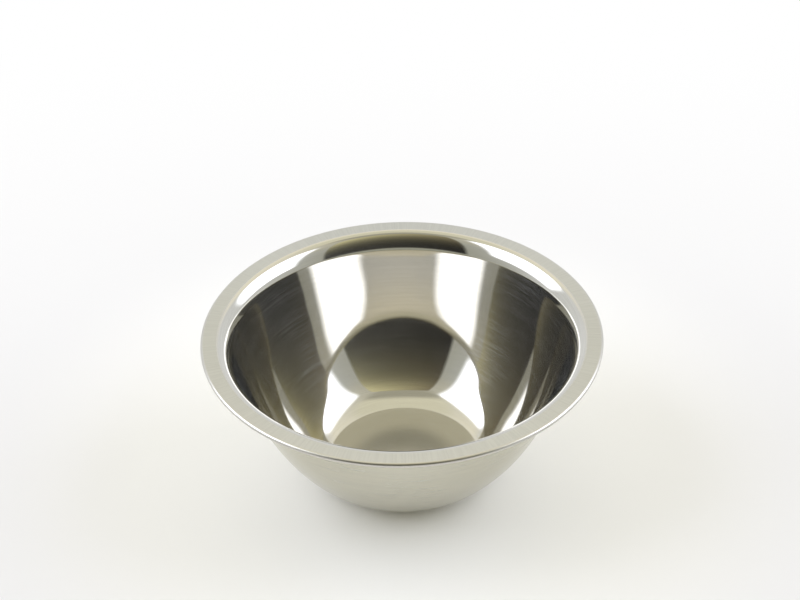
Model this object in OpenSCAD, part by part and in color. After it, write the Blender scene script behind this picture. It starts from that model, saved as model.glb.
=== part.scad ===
// Prep bowl: one sheet of stainless steel, pressed into a flat-bottomed bowl.
// Its wide flat rim is curled under at the outer edge, and a short rounded neck
// joins the rim to the wall at a crease that runs all the way round.
// Millimetres, +Z up. The origin is the middle of the base, on the table.
// Sizes are those of the polished inside face; the sheet's thickness lies behind it.

/* [Body] */
// Height from the table to the top of the rim
bowl_h = 81; // [60:1:140]
// Thickness of the sheet
sheet_t = 0.6; // [0.4:0.1:1.2]

/* [Rim] */
// Diameter over the curled outer edge
rim_d = 200; // [170:1:300]
// Width of the flat rim, from the outer edge to the start of the neck
flange_w = 8; // [6:0.5:14]
// Diameter of the curl along the outer edge
curl_d = 2.5; // [2:0.1:4]
// How far the curl turns under, in degrees
curl_turn = 250; // [180:5:270]

/* [Neck] */
// How far the crease lies inside the start of the neck
neck_in = 7.1; // [4:0.1:9]
// How far the crease lies below the top of the rim
neck_drop = 7.6; // [6:0.1:12]
// Slope of the neck where it meets the crease, in degrees
neck_slope = 69; // [58:1:75]

/* [Wall] */
// Slope of the wall just below the crease, in degrees
wall_slope = 72; // [60:1:76]

/* [Base] */
// Diameter of the flat floor
floor_d = 76; // [50:1:90]
// Radius of the small turn at the edge of the floor
foot_r = 3; // [2:0.5:8]
// Slope at which that turn ends and the heel begins, in degrees
foot_slope = 18; // [8:1:30]
// Radius of the heel, the round bend between the floor's edge and the wall
heel_r = 33; // [20:1:45]
// Slope at which the heel ends and the wall begins, in degrees
heel_slope = 46.5; // [36:0.5:54]

/* [Hidden] */
$fn = 180;

// Radii and heights of the profile, on the inside face
rim_r = rim_d / 2;
curl_r = curl_d / 2;
flange_r = rim_r - flange_w;
crease = [flange_r - neck_in, bowl_h - neck_drop];
floor_r = floor_d / 2;

// Pull of each end on the wall's curve and on the neck's, as shares of the curve's chord
wall_pull_shares = [0.37, 0.32];
neck_pull_shares = [0.32, 0.31];

// Steps along each round stretch
foot_steps = 5;
heel_steps = 10;
wall_steps = 20;
neck_steps = 10;
curl_steps = 20;

// A unit step in the direction of an angle
function heading(a) = [cos(a), sin(a)];

// Points of an arc about a centre
function arc(centre, r, from, to, steps) =
    [for (i = [0:steps]) centre + r * heading(from + (to - from) * i / steps)];

// Points of a smooth curve that leaves p at one slope and reaches q at another
function curve(p, p_slope, q, q_slope, pull_shares, steps) =
    let (chord = norm(q - p),
         p_pull = p + heading(p_slope) * chord * pull_shares[0],
         q_pull = q - heading(q_slope) * chord * pull_shares[1])
    [for (i = [0:steps]) let (u = i / steps, v = 1 - u)
        v * v * v * p + 3 * v * v * u * p_pull + 3 * v * u * u * q_pull + u * u * u * q];

// A list without its first point, which the stretch before it already ends on
function rest(points) = [for (i = [1:len(points) - 1]) points[i]];

// The direction of one straight stretch of a path
function run(path, i) = let (d = path[i + 1] - path[i]) d / norm(d);

// The same path, moved by the sheet's thickness to its outer side and mitred at each point
function backed(path, t) =
    [for (i = [0:len(path) - 1])
        let (before = run(path, max(i - 1, 0)),
             after = run(path, min(i, len(path) - 2)),
             side = [before[1] + after[1], -before[0] - after[0]])
        path[i] + side * 2 * t / (side * side)];

// The inside face, from the middle of the floor out to the end of the curl
function foot_path() =
    concat([[0, sheet_t]], arc([floor_r, sheet_t + foot_r], foot_r, -90, foot_slope - 90, foot_steps));
function heel_path() =
    let (foot = foot_path(), centre = foot[len(foot) - 1] - heel_r * heading(foot_slope - 90))
    arc(centre, heel_r, foot_slope - 90, heel_slope - 90, heel_steps);
function wall_path() =
    let (heel = heel_path())
    curve(heel[len(heel) - 1], heel_slope, crease, wall_slope, wall_pull_shares, wall_steps);
function neck_path() =
    curve(crease, neck_slope, [flange_r, bowl_h], 0, neck_pull_shares, neck_steps);
function curl_path() =
    arc([rim_r - curl_r, bowl_h - curl_r], curl_r, 90, 90 - curl_turn, curl_steps);
function inside_face() =
    concat(foot_path(), rest(heel_path()), rest(wall_path()), rest(neck_path()), curl_path());

module bowl() {
    face = inside_face();
    back = backed(face, sheet_t);
    color("silver")
        rotate_extrude()
            polygon(concat(face, [for (i = [len(back) - 1:-1:0]) back[i]]));
}

bowl();
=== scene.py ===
"""Looks of a stainless steel prep bowl: one pressed sheet, polished inside, with a brushed rim."""

import logging
import math
from dataclasses import dataclass
from enum import Enum

import bmesh
import bpy
from mathutils import Euler, Matrix, Vector
from mathutils.geometry import interpolate_bezier


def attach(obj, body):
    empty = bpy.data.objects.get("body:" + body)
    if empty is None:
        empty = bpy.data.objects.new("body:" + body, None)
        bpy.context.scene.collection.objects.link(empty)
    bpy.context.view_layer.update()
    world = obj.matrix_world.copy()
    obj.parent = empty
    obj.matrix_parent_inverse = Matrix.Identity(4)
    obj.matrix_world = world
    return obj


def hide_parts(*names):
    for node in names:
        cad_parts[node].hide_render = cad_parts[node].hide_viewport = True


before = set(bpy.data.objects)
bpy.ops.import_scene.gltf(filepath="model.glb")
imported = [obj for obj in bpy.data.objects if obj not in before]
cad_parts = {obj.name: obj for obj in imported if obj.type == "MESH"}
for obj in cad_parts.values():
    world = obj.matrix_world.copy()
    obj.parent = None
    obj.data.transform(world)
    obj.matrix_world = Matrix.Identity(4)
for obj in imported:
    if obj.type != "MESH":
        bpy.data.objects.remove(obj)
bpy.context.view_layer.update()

logging.basicConfig(level=logging.INFO, format="%(message)s")
log = logging.getLogger("prep_bowl")

MM = 0.001
WHITE = "ffffff"
# The point of the bowl that the soft boxes face
BOWL_MIDDLE = (0.0, 0.0, 0.05)
# Radius at which the pitch of marks that run outward is true
GRAIN_R_MM = 95.0
# Spans of noise that are opened out: all of a finish's marks, its sparser scratches, its patches
MARK_SPAN = (0.3, 0.7)
SCRATCH_SPAN = (0.42, 0.78)
PATCH_SPAN = (0.35, 0.65)
# Share of its scratches that the least worn patch keeps
LEAST_WORN = 0.35
# Scale of the scratches' noise against the marks', so that the two don't coincide
SCRATCH_SCALE = 1.37
# How much of each finer layer shows in the noise
NOISE_ROUGHNESS = 0.6
# Points of the profile that lie closer than this are one
MERGE_MM = 0.0001
# Settings of a ramp that starts and ends gently
SMOOTH = {"interpolation_type": "SMOOTHSTEP"}
# Where a Mix node takes its share and its two colours, and where it gives the mixed one
SHARE, FIRST, SECOND, MIXED = 0, 6, 7, 2

Span = tuple[float, float]
Place = tuple[float, float, float]
Colour = tuple[float, float, float, float]
Socket = bpy.types.NodeSocket
Inputs = dict[str | int, object] | tuple[object, ...]
Tree = bpy.types.NodeTree


def linear(hex_colour: str) -> Colour:
    """Turns an sRGB hex colour into the linear colour that Blender's sockets hold.

    Args:
        hex_colour: six hex digits.

    Returns:
        Red, green, blue and an alpha of 1.
    """
    shares = [int(hex_colour[i : i + 2], 16) / 255 for i in (0, 2, 4)]
    red, green, blue = (s / 12.92 if s <= 0.04045 else ((s + 0.055) / 1.055) ** 2.4 for s in shares)
    return (red, green, blue, 1.0)


def add_node(
    tree: Tree, kind: str, inputs: Inputs = (), output: str | int = 0, **settings: object
) -> Socket | None:
    """Adds one node with its settings, constants and links.

    Args:
        tree: the node tree that gets the node.
        kind: the node's type name.
        inputs: a constant, or the output to link, for each input in order, or by name or number.
        output: the name or number of the output that is wanted.
        **settings: attributes of the node itself.

    Returns:
        The wanted output, or nothing where the node has none.
    """
    node = tree.nodes.new(kind)
    for name, value in settings.items():
        setattr(node, name, value)
    pairs = inputs.items() if isinstance(inputs, dict) else enumerate(inputs)
    for key, value in pairs:
        if isinstance(value, Socket):
            tree.links.new(value, node.inputs[key])
        else:
            node.inputs[key].default_value = value
    return node.outputs[output] if node.outputs else None


def new_tree(owner: bpy.types.Material | bpy.types.World) -> Tree:
    """Gives a material or world an empty node tree.

    Args:
        owner: the material or world.

    Returns:
        Its tree, without nodes.
    """
    owner.use_nodes = True
    owner.node_tree.nodes.clear()
    return owner.node_tree


def put_in_scene(name: str, data: bpy.types.ID) -> bpy.types.Object:
    """Makes an object of some data and links it to the scene.

    Args:
        name: the object's name.
        data: its mesh or camera.

    Returns:
        The new object.
    """
    made = bpy.data.objects.new(name, data)
    bpy.context.collection.objects.link(made)
    return made


def square(name: str, half: float, material: bpy.types.Material) -> bpy.types.Object:
    """A flat square in the scene.

    Args:
        name: the square's name.
        half: half its side.
        material: its one material.

    Returns:
        The square.
    """
    bm = bmesh.new()
    bmesh.ops.create_grid(bm, x_segments=1, y_segments=1, size=half)
    mesh = bpy.data.meshes.new(name)
    bm.to_mesh(mesh)
    bm.free()
    mesh.materials.append(material)
    made = put_in_scene(name, mesh)
    return made


class Grain(Enum):
    """The way a steel surface's fine marks run, by the turn that it gives a stretched highlight."""

    AROUND = 0.25
    OUTWARD = 0.0


@dataclass(frozen=True)
class SteelFinish:
    """Stainless steel with marks from the way its surface was worked.

    The marks are noise drawn out along the grain: fine across it and slow along it. A share of the
    light is scattered widely: a little everywhere, more in the scratches, which lie in patches.
    """

    name: str
    hex_colour: str
    roughness: float
    grain: Grain
    run_mm: float
    depth_mm: float
    haze: float
    scratches: float
    # Real marks lie closer than this, and are drawn as coarse as they need to show
    pitch_mm: float = 0.8
    # The scattered share's default cool tint is painted light: it copies the soft boxes' cool
    # light, not the steel's own tint
    dull_hex_colour: str = "dee2e8"
    dull_roughness: float = 0.35
    anisotropy: float = 0.0
    dull_anisotropy: float = 0.6
    mottle: float = 0.06
    wave_mm: float = 0.0
    wave_pitch_mm: float = 30.0
    patch_mm: float = 22.0

    def material(self) -> bpy.types.Material:
        """Builds the finish.

        Returns:
            A new material that reads Object coordinates.
        """
        made = bpy.data.materials.new(self.name)
        tree = new_tree(made)
        place = add_node(tree, "ShaderNodeTexCoord", output="Object")
        grain = self._grain_place(tree, place)
        marks = self._pattern(tree, grain, 1.0, 3.0, MARK_SPAN)
        scratches = self._pattern(tree, grain, SCRATCH_SCALE, 3.0, SCRATCH_SPAN)
        patches = self._pattern(tree, place, 1 / (self.patch_mm * MM), 2.0, PATCH_SPAN, LEAST_WORN)
        worn = add_node(tree, "ShaderNodeMath", (scratches, patches), operation="MULTIPLY")
        share = add_node(
            tree, "ShaderNodeMath", (worn, self.scratches, self.haze), operation="MULTIPLY_ADD"
        )
        pale = linear(self.hex_colour)
        deep = tuple((1 - self.mottle) * channel for channel in pale[:3]) + (1.0,)
        tint = add_node(
            tree, "ShaderNodeMix", {SHARE: marks, FIRST: pale, SECOND: deep}, MIXED,
            data_type="RGBA",
        )
        normal = self._normal(tree, marks, place)
        around = add_node(tree, "ShaderNodeTangent", direction_type="RADIAL", axis="Z")
        clear, dull = (
            add_node(tree, "ShaderNodeBsdfPrincipled", {
                "Base Color": colour, "Metallic": 1.0, "Roughness": roughness, "Normal": normal,
                "Tangent": around, "Anisotropic": anisotropy,
                "Anisotropic Rotation": self.grain.value,
            })
            for colour, roughness, anisotropy in (
                (tint, self.roughness, self.anisotropy),
                (linear(self.dull_hex_colour), self.dull_roughness, self.dull_anisotropy),
            )
        )
        steel = add_node(tree, "ShaderNodeMixShader", (share, clear, dull))
        add_node(tree, "ShaderNodeOutputMaterial", {"Surface": steel})
        return made

    def _grain_place(self, tree: Tree, place: Socket) -> Socket:
        """Coordinates in which one unit is a pitch across the grain and a run along it.

        Args:
            tree: the material's node tree.
            place: Object coordinates.

        Returns:
            The vector that the grain's noise reads.
        """
        outward, around = self.pitch_mm, self.run_mm
        if self.grain is Grain.OUTWARD:
            outward, around = around, outward
        parts = add_node(tree, "ShaderNodeSeparateXYZ", (place,)).node.outputs
        flat = add_node(tree, "ShaderNodeCombineXYZ", {"X": parts["X"], "Y": parts["Y"]})
        radius = add_node(tree, "ShaderNodeVectorMath", (flat,), "Value", operation="LENGTH")
        spoke = add_node(tree, "ShaderNodeVectorMath", (flat,), operation="NORMALIZE")
        turned = add_node(
            tree, "ShaderNodeVectorMath", {0: spoke, "Scale": GRAIN_R_MM / around},
            operation="SCALE",
        )
        travel = add_node(tree, "ShaderNodeMath", (radius, parts["Z"]), operation="ADD")
        risen = add_node(
            tree, "ShaderNodeMath", (travel, 1 / (outward * MM)), operation="MULTIPLY"
        )
        lift = add_node(tree, "ShaderNodeCombineXYZ", {"Z": risen})
        return add_node(tree, "ShaderNodeVectorMath", (turned, lift), operation="ADD")

    @staticmethod
    def _pattern(
        tree: Tree, vector: Socket, scale: float, detail: float, span: Span, least: float = 0.0
    ) -> Socket:
        """Noise on a vector, with one span of it opened out smoothly.

        Args:
            tree: the material's node tree.
            vector: the coordinates that the noise reads.
            scale: the noise's scale.
            detail: its detail.
            span: the values of the noise that are opened out.
            least: what the low end of the span gives, where the high end gives 1.

        Returns:
            The pattern.
        """
        noise = add_node(
            tree, "ShaderNodeTexNoise",
            {"Vector": vector, "Scale": scale, "Detail": detail,
             "Roughness": NOISE_ROUGHNESS}, "Fac",
        )
        return add_node(tree, "ShaderNodeMapRange", (noise, *span, least, 1.0), **SMOOTH)

    def _normal(self, tree: Tree, marks: Socket, place: Socket) -> Socket:
        """The surface's normal, tilted by the marks and by the sheet's long waves.

        Args:
            tree: the material's node tree.
            marks: the marks' pattern.
            place: Object coordinates.

        Returns:
            The normal.
        """
        normal = add_node(
            tree, "ShaderNodeBump",
            {"Strength": 1.0, "Distance": self.depth_mm * MM, "Height": marks},
        )
        if not self.wave_mm:
            return normal
        swell = add_node(
            tree, "ShaderNodeTexNoise",
            {"Vector": place, "Scale": 1 / (self.wave_pitch_mm * MM), "Detail": 1.0,
             "Roughness": NOISE_ROUGHNESS}, "Fac",
        )
        return add_node(
            tree, "ShaderNodeBump",
            {"Strength": 1.0, "Distance": self.wave_mm * MM, "Height": swell, "Normal": normal},
        )


class Zone(Enum):
    """The stretches of the sheet, each with the finish that its making leaves."""

    # Turned on a spinning pad: a soft, slightly clouded mirror
    FLOOR = SteelFinish(
        "stainless_floor_buffed", "cdcac2", 0.14, Grain.AROUND,
        run_mm=40.0, depth_mm=0.0006, haze=0.06, scratches=0.15,
    )
    # Mirror-buffed round and round: sharp, slightly wavy reflections under a veil of fine scratches
    WALL = SteelFinish(
        "stainless_wall_mirror_buffed", "d6d3cc", 0.045, Grain.AROUND,
        run_mm=60.0, depth_mm=0.00015, haze=0.037, scratches=0.14, wave_mm=0.11,
    )
    # The same buffing on a tight bend: crisp bands of light with hardly a scratch
    NECK = SteelFinish(
        "stainless_neck_mirror_buffed", "d6d3cc", 0.06, Grain.AROUND,
        run_mm=45.0, depth_mm=0.00015, haze=0.03, scratches=0.08, wave_mm=0.03,
    )
    # Brushed from the mouth outward: light smeared round the rim, with hairlines across it
    RIM = SteelFinish(
        "stainless_rim_brushed", "cac9c3", 0.32, Grain.OUTWARD,
        run_mm=22.0, depth_mm=0.005, haze=0.1, scratches=0.25,
        dull_hex_colour="d2d0c6", anisotropy=0.5, mottle=0.09,
    )
    # Rolled edge, rubbed bright: a thin soft gleam all the way round
    CURL = SteelFinish(
        "stainless_curl_polished", "cfccc5", 0.28, Grain.AROUND,
        run_mm=45.0, depth_mm=0.0004, haze=0.03, scratches=0.1,
    )
    # Satin-polished: the table and the light run into each other in soft, warm grey slopes
    OUTSIDE = SteelFinish(
        "stainless_outside_satin", "cfcbb9", 0.2, Grain.AROUND,
        run_mm=45.0, depth_mm=0.0006, haze=0.1, scratches=0.2,
    )
    # Left as pressed and rubbed by tables: an even, dull grey
    BASE = SteelFinish(
        "stainless_base_satin", "cac7c0", 0.3, Grain.AROUND,
        run_mm=30.0, depth_mm=0.0015, haze=0.1, scratches=0.3,
    )


@dataclass
class BowlSheet:
    """The pressed sheet. Sizes are millimetres on the polished inside face, and slopes degrees.

    The pulls of a curve's two ends are shares of its chord.
    """

    rim_r: float = 100.0
    height: float = 81.0
    sheet_t: float = 0.6
    flange_w: float = 8.0
    curl_r: float = 1.25
    curl_turn: float = 250.0
    neck_in: float = 7.1
    neck_drop: float = 7.6
    neck_slope: float = 69.0
    neck_pulls: Span = (0.32, 0.31)
    wall_slope: float = 72.0
    wall_pulls: Span = (0.37, 0.32)
    ease_pulls: Span = (1 / 3, 1 / 3)
    floor_r: float = 38.0
    foot_r: float = 3.0
    foot_slope: float = 18.0
    heel_r: float = 33.0
    heel_slope: float = 46.5
    turns: int = 256
    # Steps along each round stretch of the profile
    foot_steps: int = 8
    heel_steps: int = 28
    ease_steps: int = 24
    wall_steps: int = 60
    neck_steps: int = 30
    curl_steps: int = 24
    # Steps of the heel and of the wall that the easing curve between them takes the place of
    eased_heel_steps: int = 14
    eased_wall_steps: int = 6
    # Rings of faces on the flat floor and on the flat rim, as shares of their widths
    floor_rings: tuple[float, ...] = (0.0, 0.3, 0.6, 0.85, 0.95, 0.985)
    rim_rings: tuple[float, ...] = (0.04, 0.12, 0.5, 0.88, 0.96)

    def stretches(self) -> list[tuple[Zone, list[Vector]]]:
        """The inside face's profile, from the middle of the floor to the end of the curl.

        Returns:
            The zone and the points of each stretch.
        """
        flange_r = self.rim_r - self.flange_w
        flat = self.flange_w - self.curl_r
        crease = Vector((flange_r - self.neck_in, 0, self.height - self.neck_drop))
        mouth = Vector((flange_r, 0, self.height))
        floor = [Vector((self.floor_r * share, 0, self.sheet_t)) for share in self.floor_rings]
        foot = self._arc(
            (self.floor_r, self.sheet_t + self.foot_r), self.foot_r,
            -90, self.foot_slope - 90, self.foot_steps,
        )
        hub = foot[-1] - self._heading(self.foot_slope - 90) * self.heel_r
        heel = self._arc(
            (hub.x, hub.z), self.heel_r,
            self.foot_slope - 90, self.heel_slope - 90, self.heel_steps,
        )
        wall = self._curve(
            heel[-1], self.heel_slope, crease, self.wall_slope, self.wall_pulls, self.wall_steps
        )
        ease = self._ease(heel, wall)
        heel, wall = heel[: -self.eased_heel_steps - 1], wall[self.eased_wall_steps + 1 :]
        neck = self._curve(crease, self.neck_slope, mouth, 0, self.neck_pulls, self.neck_steps)
        rim = [Vector((flange_r + flat * share, 0, self.height)) for share in self.rim_rings]
        roll = (self.rim_r - self.curl_r, self.height - self.curl_r)
        curl = self._arc(roll, self.curl_r, 90, 90 - self.curl_turn, self.curl_steps)
        return [
            (Zone.FLOOR, floor + foot), (Zone.WALL, heel[1:] + ease + wall),
            (Zone.NECK, neck[1:]), (Zone.RIM, rim + curl[:1]), (Zone.CURL, curl[1:]),
        ]

    def _ease(self, heel: list[Vector], wall: list[Vector]) -> list[Vector]:
        """A short curve from the heel's bend to the wall's, so that mirrored edges run on smoothly.

        Args:
            heel: the heel's points.
            wall: the wall's points, the first of them the heel's last.

        Returns:
            The points that take the place of the last of the heel and the first of the wall.
        """
        step = (self.heel_slope - self.foot_slope) / self.heel_steps
        onward = wall[self.eased_wall_steps + 1] - wall[self.eased_wall_steps - 1]
        return self._curve(
            heel[-self.eased_heel_steps - 1], self.heel_slope - step * self.eased_heel_steps,
            wall[self.eased_wall_steps], math.degrees(math.atan2(onward.z, onward.x)),
            self.ease_pulls, self.ease_steps,
        )

    @staticmethod
    def _heading(degrees: float) -> Vector:
        """A unit step in the profile's plane."""
        return Vector((math.cos(math.radians(degrees)), 0, math.sin(math.radians(degrees))))

    @classmethod
    def _arc(
        cls, centre: Span, radius: float, start: float, end: float, steps: int
    ) -> list[Vector]:
        """Points of an arc in the profile's plane.

        Args:
            centre: the arc's centre, outward and up.
            radius: its radius.
            start: the first point's angle in degrees.
            end: the last point's angle.
            steps: the number of stretches.

        Returns:
            The points, both ends included.
        """
        middle = Vector((centre[0], 0, centre[1]))
        turn = (end - start) / steps
        return [middle + cls._heading(start + turn * i) * radius for i in range(steps + 1)]

    @classmethod
    def _curve(
        cls, start: Vector, slope: float, end: Vector, end_slope: float, pulls: Span, steps: int
    ) -> list[Vector]:
        """Points of a smooth curve that leaves and arrives at given slopes.

        Args:
            start: the first point.
            slope: the slope there, in degrees.
            end: the last point.
            end_slope: the slope there.
            pulls: each end's pull, as shares of the chord.
            steps: the number of stretches.

        Returns:
            The points, both ends included.
        """
        chord = (end - start).length
        leaving = cls._heading(slope) * chord * pulls[0]
        arriving = cls._heading(end_slope) * chord * pulls[1]
        return interpolate_bezier(start, start + leaving, end - arriving, end, steps + 1)

    def build(self) -> bpy.types.Object:
        """Spins the profile, gives the sheet its thickness and dresses each zone.

        Returns:
            The bowl, in metres, standing on z = 0.
        """
        bm = bmesh.new()
        station = bm.verts.layers.int.new("station")
        points = [(zone, point) for zone, stretch in self.stretches() for point in stretch]
        chain = [bm.verts.new(point * MM) for _, point in points]
        for i, vert in enumerate(chain):
            vert[station] = i
        edges = [bm.edges.new(pair) for pair in zip(chain, chain[1:])]
        bmesh.ops.spin(
            bm, geom=chain + edges, cent=(0, 0, 0), axis=(0, 0, 1), dvec=(0, 0, 0),
            angle=math.tau, steps=self.turns, use_merge=True, use_duplicate=False,
        )
        bmesh.ops.remove_doubles(bm, verts=bm.verts, dist=MERGE_MM * MM)
        bmesh.ops.recalc_face_normals(bm, faces=bm.faces)
        if min(bm.faces, key=lambda face: face.calc_center_median().z).normal.z < 0:
            bmesh.ops.reverse_faces(bm, faces=bm.faces)
        inside = set(bm.faces)
        bmesh.ops.solidify(bm, geom=bm.faces[:], thickness=self.sheet_t * MM)
        slots = list(Zone)
        backs = {Zone.FLOOR: Zone.BASE, Zone.CURL: Zone.CURL}
        for face in bm.faces:
            zone = points[max(vert[station] for vert in face.verts)][0]
            if face not in inside:
                zone = backs.get(zone, Zone.OUTSIDE)
            face.material_index = slots.index(zone)
            face.smooth = True
        mesh = bpy.data.meshes.new("bowl_sheet")
        bm.to_mesh(mesh)
        bm.free()
        for zone in Zone:
            mesh.materials.append(zone.value.material())
        return put_in_scene("bowl_sheet", mesh)


@dataclass(frozen=True)
class StudioPaper:
    """Matt paper, paler and warmer near the bowl as painted light that lifts the bowl's shade
    there, greyer away from it, and fading to plain white far behind it.

    It is clear from below and under the bowl's base, so that the underside shows from beneath.
    Lengths are metres.
    """

    name: str = "studio_paper"
    # The near colour, paler and warmer than the far one, is painted light: it lifts the bowl's
    # shade on the paper around it
    hex_colour: str = "fdfbf8"
    far_hex_colour: str = "e3e1e3"
    roughness: float = 0.9
    specular: float = 0.2
    painted_light_span: Span = (0.07, 0.24)
    white_span: Span = (0.0, 0.45)
    base_r: float = 0.038

    def material(self) -> bpy.types.Material:
        """Builds the paper.

        Returns:
            A new material on Object coordinates.
        """
        made = bpy.data.materials.new(self.name)
        tree = new_tree(made)
        place = add_node(tree, "ShaderNodeTexCoord", output="Object")
        y = add_node(tree, "ShaderNodeSeparateXYZ", (place,), "Y")
        radius = add_node(tree, "ShaderNodeVectorMath", (place,), "Value", operation="LENGTH")
        # Painted light: the paper is paler and warmer near the bowl and greys outward to the far
        # colour
        grey = add_node(tree, "ShaderNodeMapRange", (radius, *self.painted_light_span), **SMOOTH)
        colour = add_node(
            tree, "ShaderNodeMix",
            {SHARE: grey, FIRST: linear(self.hex_colour), SECOND: linear(self.far_hex_colour)},
            MIXED, data_type="RGBA",
        )
        paper = add_node(tree, "ShaderNodeBsdfPrincipled", {
            "Base Color": colour, "Roughness": self.roughness, "Specular IOR Level": self.specular,
        })
        white = add_node(tree, "ShaderNodeEmission", {"Color": linear(WHITE), "Strength": 1.0})
        seen = add_node(tree, "ShaderNodeLightPath", output="Is Camera Ray")
        behind = add_node(tree, "ShaderNodeMapRange", (y, *self.white_span), **SMOOTH)
        far = add_node(tree, "ShaderNodeMath", (behind, seen), operation="MULTIPLY")
        top = add_node(tree, "ShaderNodeMixShader", (far, paper, white))
        clear = add_node(tree, "ShaderNodeBsdfTransparent")
        below = add_node(tree, "ShaderNodeNewGeometry", output="Backfacing")
        base = add_node(tree, "ShaderNodeMath", (radius, self.base_r), operation="LESS_THAN")
        under = add_node(tree, "ShaderNodeMath", (below, base), operation="MAXIMUM")
        both = add_node(tree, "ShaderNodeMixShader", (under, top, clear))
        add_node(tree, "ShaderNodeOutputMaterial", {"Surface": both})
        return made


@dataclass(frozen=True)
class Panel:
    """A glowing panel with soft edges, which the camera doesn't see. Lengths are metres.

    Its colours are those of its corners, low left, low right, high left, high right, and its edges
    are the shares of half its size over which it fades: left, right, low, high, as the bowl sees.
    A panel that lights no matt surface shows in metal alone and throws no shadow.
    """

    name: str
    middle: Place
    target: Place
    width: float
    height: float
    hex_colours: tuple[str, str, str, str]
    edges: tuple[float, float, float, float]
    strength: float = 1.0
    roll: float = 0.0
    rise: Span = (-0.9, 0.7)
    lights_matt: bool = True

    def _material(self) -> bpy.types.Material:
        """Builds the glow on the panel's own coordinates, which run from -1 to 1.

        Returns:
            A new material, clear past the panel's soft edges.
        """
        made = bpy.data.materials.new(self.name)
        tree = new_tree(made)
        place = add_node(tree, "ShaderNodeTexCoord", output="Object")
        parts = add_node(tree, "ShaderNodeSeparateXYZ", (place,)).node.outputs
        shown = 1.0
        for axis, end, share in zip("XXYY", (-1.0, 1.0, -1.0, 1.0), self.edges):
            inner = end * (1 - share)
            fade = add_node(tree, "ShaderNodeMapRange", (parts[axis], end, inner), **SMOOTH)
            shown = add_node(tree, "ShaderNodeMath", (shown, fade), operation="MULTIPLY")
        across = add_node(tree, "ShaderNodeMapRange", (parts["X"], -1.0, 1.0))
        up = add_node(tree, "ShaderNodeMapRange", (parts["Y"], *self.rise), **SMOOTH)
        corners = [linear(colour) for colour in self.hex_colours]
        low, high = (
            add_node(
                tree, "ShaderNodeMix", {SHARE: across, FIRST: left, SECOND: right}, MIXED,
                data_type="RGBA",
            )
            for left, right in (corners[:2], corners[2:])
        )
        colour = add_node(
            tree, "ShaderNodeMix", {SHARE: up, FIRST: low, SECOND: high}, MIXED,
            data_type="RGBA",
        )
        glow = add_node(
            tree, "ShaderNodeEmission", {"Color": colour, "Strength": self.strength}
        )
        clear = add_node(tree, "ShaderNodeBsdfTransparent")
        mixed = add_node(tree, "ShaderNodeMixShader", (shown, clear, glow))
        add_node(tree, "ShaderNodeOutputMaterial", {"Surface": mixed})
        return made

    def build(self) -> bpy.types.Object:
        """Puts the panel up, facing its target.

        Returns:
            The panel.
        """
        panel = square(self.name, 1.0, self._material())
        panel.location = self.middle
        panel.scale = (self.width / 2, self.height / 2, 1)
        facing = (Vector(self.target) - Vector(self.middle)).to_track_quat("Z", "Y").to_matrix()
        turned = facing @ Matrix.Rotation(math.radians(self.roll), 3, "Z")
        panel.rotation_euler = turned.to_euler()
        panel.visible_camera = False
        panel.visible_diffuse = panel.visible_shadow = self.lights_matt
        return panel


@dataclass(frozen=True)
class Tent:
    """Pale cloth, grey in front, whiter behind and warmer overhead, and plain white to the camera.

    Each band has its colour in front and behind. Spans are parts of a direction of length 1:
    those from front to back along Y, and those from band to band along Z.
    """

    name: str = "tent"
    strength: float = 1.25
    low_hex_colours: tuple[str, str] = ("9c9d90", "dfe1e2")
    middle_hex_colours: tuple[str, str] = ("95968a", "fffae6")
    high_hex_colours: tuple[str, str] = ("a8a695", "dcd9c2")
    front_to_back: Span = (-0.9, 0.9)
    high_front_to_back: Span = (-0.18, -0.02)
    low_to_middle: Span = (0.55, 0.75)
    middle_to_high: Span = (0.85, 0.93)

    def build(self) -> None:
        """Makes the scene's world of it."""
        world = bpy.data.worlds.new(self.name)
        bpy.context.scene.world = world
        tree = new_tree(world)
        towards = add_node(tree, "ShaderNodeTexCoord", output="Generated")
        parts = add_node(tree, "ShaderNodeSeparateXYZ", (towards,)).node.outputs
        back = add_node(tree, "ShaderNodeMapRange", (parts["Y"], *self.front_to_back))
        over = add_node(
            tree, "ShaderNodeMapRange", (parts["Y"], *self.high_front_to_back), **SMOOTH
        )
        low, middle, high = (
            add_node(
                tree, "ShaderNodeMix",
                {SHARE: share, FIRST: linear(front), SECOND: linear(behind)}, MIXED,
                data_type="RGBA",
            )
            for share, (front, behind) in (
                (back, self.low_hex_colours), (back, self.middle_hex_colours),
                (over, self.high_hex_colours),
            )
        )
        cloth = low
        for span, band in ((self.low_to_middle, middle), (self.middle_to_high, high)):
            rise = add_node(tree, "ShaderNodeMapRange", (parts["Z"], *span), **SMOOTH)
            cloth = add_node(
                tree, "ShaderNodeMix", {SHARE: rise, FIRST: cloth, SECOND: band}, MIXED,
                data_type="RGBA",
            )
        lit = add_node(
            tree, "ShaderNodeBackground", {"Color": cloth, "Strength": self.strength}
        )
        white = add_node(tree, "ShaderNodeBackground", {"Color": linear(WHITE), "Strength": 1.0})
        seen = add_node(tree, "ShaderNodeLightPath", output="Is Camera Ray")
        shown = add_node(tree, "ShaderNodeMixShader", (seen, lit, white))
        add_node(tree, "ShaderNodeOutputWorld", {"Surface": shown})


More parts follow.
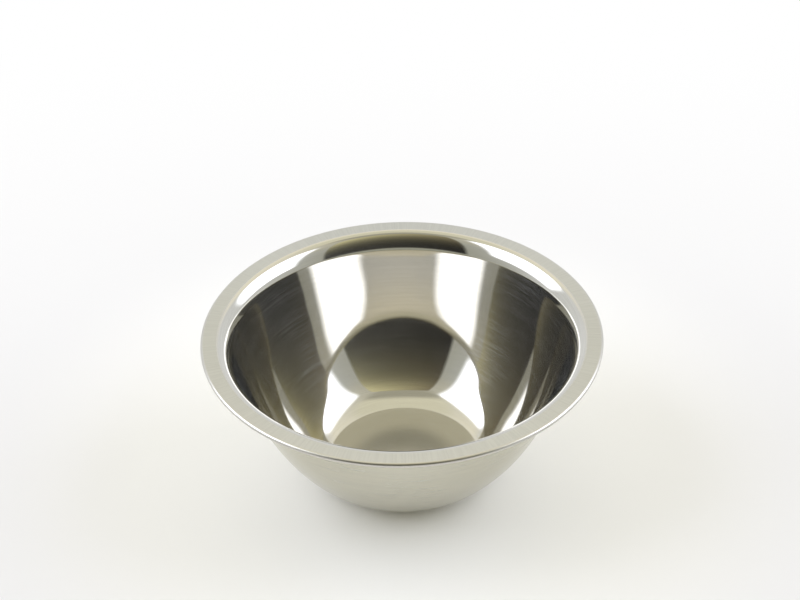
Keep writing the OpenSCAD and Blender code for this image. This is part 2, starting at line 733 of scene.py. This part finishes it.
@dataclass
class Studio:
    """Paper on a table in a pale tent, with two soft boxes and a dim opening in front."""

    lens_mm: float = 81.0
    sensor_mm: float = 36.0
    pitch: float = 35.925
    roll: float = -1.196
    camera_place: Place = (-0.0005, -0.7156, 0.6191)
    clip: Span = (0.01, 20.0)
    paper_half: float = 3.0
    # A hair below the base, so that the two flat faces don't lie in one plane
    paper_drop_mm: float = 0.1
    panels: tuple[Panel, ...] = (
        Panel(
            "soft_box_left", (-1.593, 0.1, 1.255), BOWL_MIDDLE, width=2.08, height=1.86,
            hex_colours=("f2f6ff",) * 4, edges=(0.35, 0.3, 0.3, 0.3), strength=3.55, roll=-22,
        ),
        Panel(
            "soft_box_right", (1.633, 0.28, 1.17), BOWL_MIDDLE, width=2.07, height=1.73,
            hex_colours=("f2f6ff",) * 4, edges=(0.4, 0.35, 0.2, 0.35), strength=3.55, roll=13,
        ),
        Panel(
            "tent_opening", (0.11, -0.877, 1.35), (0.11, 0, 1.35), width=2.06, height=2.34,
            hex_colours=("4e4d49", "1d1b17", "e6e0b0", "867c62"), edges=(0.12, 0.12, 0.1, 0.1),
            lights_matt=False,
        ),
    )

    def build(self) -> None:
        """Sets up the camera, the tent, the paper and the panels."""
        self._camera()
        Tent().build()
        paper = square("table_paper", self.paper_half, StudioPaper().material())
        paper.location.z = -self.paper_drop_mm * MM
        for panel in self.panels:
            panel.build()

    def _camera(self) -> None:
        """Makes the camera and sets it as the scene's."""
        data = bpy.data.cameras.new("camera")
        data.lens, data.sensor_width = self.lens_mm, self.sensor_mm
        data.clip_start, data.clip_end = self.clip
        camera = put_in_scene("camera", data)
        level = Euler((math.radians(90 - self.pitch), 0, 0)).to_matrix()
        turned = level @ Matrix.Rotation(math.radians(self.roll), 3, "Z")
        camera.location = self.camera_place
        camera.rotation_euler = turned.to_euler()
        bpy.context.scene.camera = camera


def main() -> None:
    """Builds the studio and the bowl, and reports each piece."""
    bpy.context.scene.view_settings.view_transform = "Standard"
    Studio().build()
    log.info("studio: camera, tent, paper and panels")
    bowl = BowlSheet().build()
    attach(bowl, "root")
    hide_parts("bowl")
    log.info("%s: %d faces", bowl.name, len(bowl.data.polygons))


if __name__ == "__main__":
    main()
